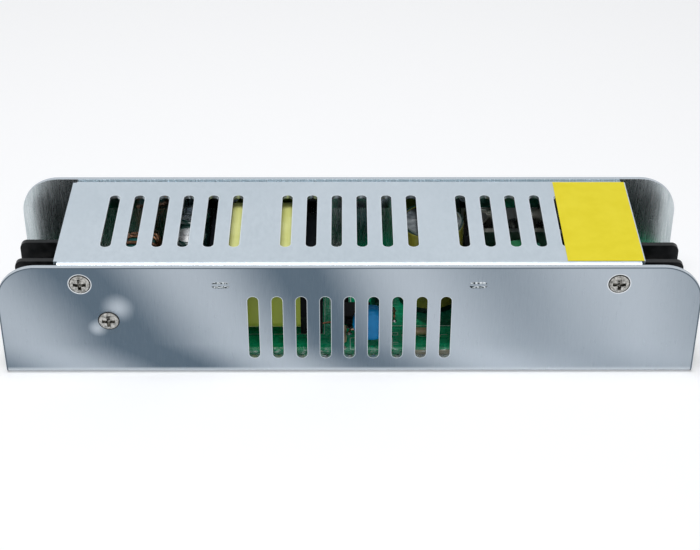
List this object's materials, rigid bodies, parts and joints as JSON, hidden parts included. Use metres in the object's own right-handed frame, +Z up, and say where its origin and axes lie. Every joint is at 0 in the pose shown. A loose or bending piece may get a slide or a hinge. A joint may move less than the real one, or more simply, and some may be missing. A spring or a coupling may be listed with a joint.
{
  "type": "enclosed switching power supply",
  "caption": "Slim enclosed switching power supply: folded slotted metal case and cover, barrier terminals with captive screws at its ends, circuit board with parts inside.",
  "frame": {"origin": "middle of the case's underside", "axes": "+X along the case from the output end to the inlet end, +Y to the side with the transistors, +Z up through the cover"},
  "size_m": [0.188, 0.0472, 0.0351],
  "materials": {
    "channel_metal": "fine vertical brushing, satin",
    "cover_metal": "matt, pale grey-blue",
    "sticker": "plain yellow, satin",
    "plated_steel": "nickel plated",
    "standoff_steel": "tin plated",
    "tinned_copper": "tinned",
    "clear_film": "milky, half clear",
    "board": "green solder mask",
    "black_plastic": "moulded, satin",
    "device_epoxy": "moulded epoxy",
    "pad_rubber": "silicone pad",
    "ferrite": "sintered, dark grey",
    "green_ferrite": "green coated",
    "powder_ring": "yellow coated iron powder",
    "copper_wire": "enamelled copper",
    "yellow_tape": "polyester tape",
    "can_aluminium": "drawn, bright",
    "cap_sleeve": "shrunk sleeve",
    "bulk_sleeve": "shrunk sleeve",
    "blue_coating": "blue epoxy dip",
    "dark_coating": "dark dip",
    "teal_box": "moulded box",
    "grey_box": "moulded box",
    "resistor_body": "lacquered",
    "fuse_glass": "clear"
  },
  "bodies": {
    "root": {"ac_terminal_block": "black_plastic", "ac_terminal_contacts": "tinned_copper", "base_channel": "channel_metal", "board_screws": "plated_steel", "board_standoffs": "standoff_steel", "bridge_rectifier": "device_epoxy", "bulk_capacitor_can": "can_aluminium", "bulk_capacitor_sleeve": "bulk_sleeve", "choke_base": "black_plastic", "choke_core": "green_ferrite", "choke_windings": "copper_wire", "circuit_board": "board", "control_capacitor_can": "can_aluminium", "control_capacitor_sleeve": "cap_sleeve", "control_chip": "device_epoxy", "cover_screws": "plated_steel", "dc_terminal_block": "black_plastic", "dc_terminal_contacts": "tinned_copper", "device_screws": "plated_steel", "film_capacitor": "teal_box", "fuse_caps": "tinned_copper", "fuse_tube": "fuse_glass", "insulation_sheet": "clear_film", "line_capacitor": "grey_box", "optocoupler": "device_epoxy", "output_capacitor_cans": "can_aluminium", "output_capacitor_sleeves": "cap_sleeve", "output_inductor_core": "powder_ring", "output_inductor_winding": "copper_wire", "rectifier_bodies": "device_epoxy", "rectifier_clamp": "standoff_steel", "rectifier_frames": "tinned_copper", "rectifier_pad": "pad_rubber", "resistors": "resistor_body", "safety_capacitor": "blue_coating", "thermistor": "dark_coating", "top_cover": "cover_metal", "top_sticker": "sticker", "transformer_band": "yellow_tape", "transformer_bobbin": "black_plastic", "transformer_core": "ferrite", "transformer_pins": "tinned_copper", "transformer_winding": "copper_wire", "transistor_bodies": "device_epoxy", "transistor_clamp": "standoff_steel", "transistor_frames": "tinned_copper", "transistor_pad": "pad_rubber"},
    "dc_washer_1": {"dc_clamp_washer_1": "standoff_steel"},
    "dc_screw_1": {"dc_terminal_screw_1": "plated_steel"},
    "dc_washer_2": {"dc_clamp_washer_2": "standoff_steel"},
    "dc_screw_2": {"dc_terminal_screw_2": "plated_steel"},
    "dc_washer_3": {"dc_clamp_washer_3": "standoff_steel"},
    "dc_screw_3": {"dc_terminal_screw_3": "plated_steel"},
    "ac_washer_1": {"ac_clamp_washer_1": "standoff_steel"},
    "ac_screw_1": {"ac_terminal_screw_1": "plated_steel"},
    "ac_washer_2": {"ac_clamp_washer_2": "standoff_steel"},
    "ac_screw_2": {"ac_terminal_screw_2": "plated_steel"},
    "ac_washer_3": {"ac_clamp_washer_3": "standoff_steel"},
    "ac_screw_3": {"ac_terminal_screw_3": "plated_steel"}
  },
  "joints": [
    {"name": "dc_washer_1_lift", "type": "slide", "parent": "root", "child": "dc_washer_1", "axis": [0, 0, 1], "range_m": [0, 0.0025]},
    {"name": "dc_screw_1_turn", "type": "hinge", "parent": "dc_washer_1", "child": "dc_screw_1", "pos_m": [-0.08735, -0.01415, 0.0146], "axis": [0, 0, 1], "range_deg": [0, 1800]},
    {"name": "dc_washer_2_lift", "type": "slide", "parent": "root", "child": "dc_washer_2", "axis": [0, 0, 1], "range_m": [0, 0.0025]},
    {"name": "dc_screw_2_turn", "type": "hinge", "parent": "dc_washer_2", "child": "dc_screw_2", "pos_m": [-0.08735, -0.00465, 0.0146], "axis": [0, 0, 1], "range_deg": [0, 1800]},
    {"name": "dc_washer_3_lift", "type": "slide", "parent": "root", "child": "dc_washer_3", "axis": [0, 0, 1], "range_m": [0, 0.0025]},
    {"name": "dc_screw_3_turn", "type": "hinge", "parent": "dc_washer_3", "child": "dc_screw_3", "pos_m": [-0.08735, 0.00485, 0.0146], "axis": [0, 0, 1], "range_deg": [0, 1800]},
    {"name": "ac_washer_1_lift", "type": "slide", "parent": "root", "child": "ac_washer_1", "axis": [0, 0, 1], "range_m": [0, 0.0025]},
    {"name": "ac_screw_1_turn", "type": "hinge", "parent": "ac_washer_1", "child": "ac_screw_1", "pos_m": [0.08735, -0.01335, 0.0146], "axis": [0, 0, 1], "range_deg": [0, 1800]},
    {"name": "ac_washer_2_lift", "type": "slide", "parent": "root", "child": "ac_washer_2", "axis": [0, 0, 1], "range_m": [0, 0.0025]},
    {"name": "ac_screw_2_turn", "type": "hinge", "parent": "ac_washer_2", "child": "ac_screw_2", "pos_m": [0.08735, -0.00485, 0.0146], "axis": [0, 0, 1], "range_deg": [0, 1800]},
    {"name": "ac_washer_3_lift", "type": "slide", "parent": "root", "child": "ac_washer_3", "axis": [0, 0, 1], "range_m": [0, 0.0025]},
    {"name": "ac_screw_3_turn", "type": "hinge", "parent": "ac_washer_3", "child": "ac_screw_3", "pos_m": [0.08735, 0.00365, 0.0146], "axis": [0, 0, 1], "range_deg": [0, 1800]}
  ],
  "couplings": [
    {"joint": "dc_screw_1_turn", "follows": "dc_washer_1_lift", "rad_per_m": 12566},
    {"joint": "dc_screw_2_turn", "follows": "dc_washer_2_lift", "rad_per_m": 12566},
    {"joint": "dc_screw_3_turn", "follows": "dc_washer_3_lift", "rad_per_m": 12566},
    {"joint": "ac_screw_1_turn", "follows": "ac_washer_1_lift", "rad_per_m": 12566},
    {"joint": "ac_screw_2_turn", "follows": "ac_washer_2_lift", "rad_per_m": 12566},
    {"joint": "ac_screw_3_turn", "follows": "ac_washer_3_lift", "rad_per_m": 12566}
  ]
}
